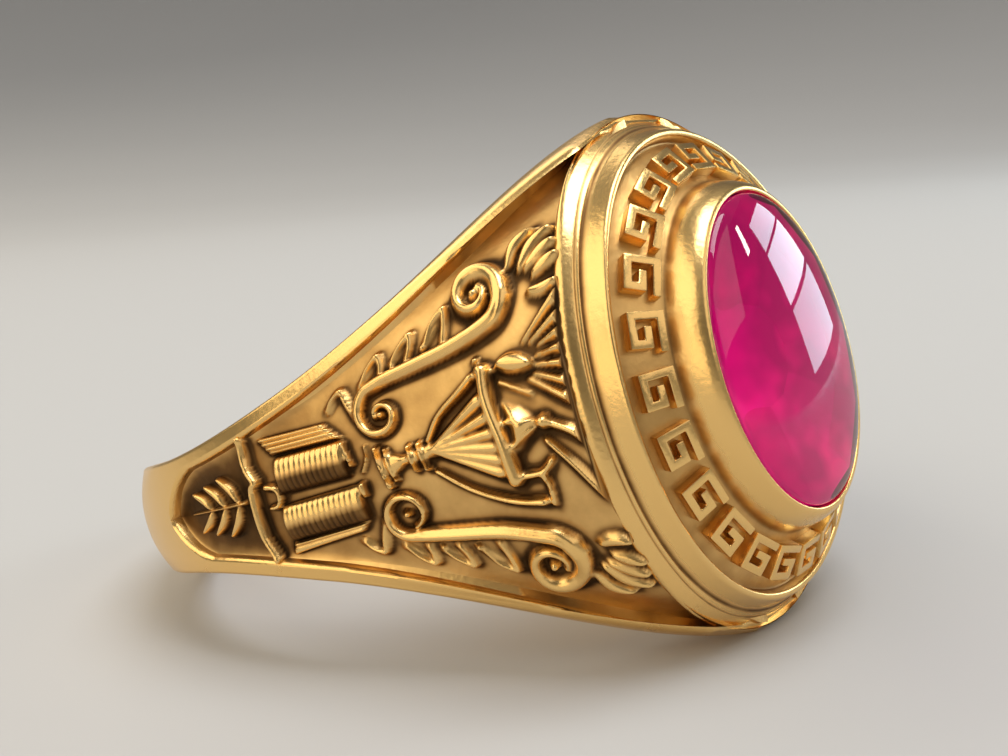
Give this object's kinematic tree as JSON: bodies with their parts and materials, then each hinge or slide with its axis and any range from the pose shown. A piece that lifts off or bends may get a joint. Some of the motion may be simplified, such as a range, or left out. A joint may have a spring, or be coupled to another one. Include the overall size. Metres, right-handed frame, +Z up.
{
  "type": "class ring with oval domed stone",
  "caption": "Cast gold class ring lying on its side: tapered shoulders with raised scrolls, a lamp and a book, and an oval bezel with a key-pattern channel round a domed red stone.",
  "frame": {"origin": "middle of the bounding box at the level of the surface that the ring lies on", "axes": "+Z up from the surface, the head and its stone toward +X and tilted up, the shoulders toward -Y and +Y, with the XZ plane as the symmetry plane of the metal's outer form"},
  "size_m": [0.0266, 0.023, 0.016],
  "materials": {
    "gold": "yellow gold, polished on the borders, rim and lip, darkened in the recesses",
    "red_stone": "clear deep ruby red, polished dome"
  },
  "bodies": {
    "root": {"ring_body": "gold", "stone": "red_stone"}
  },
  "joints": []
}
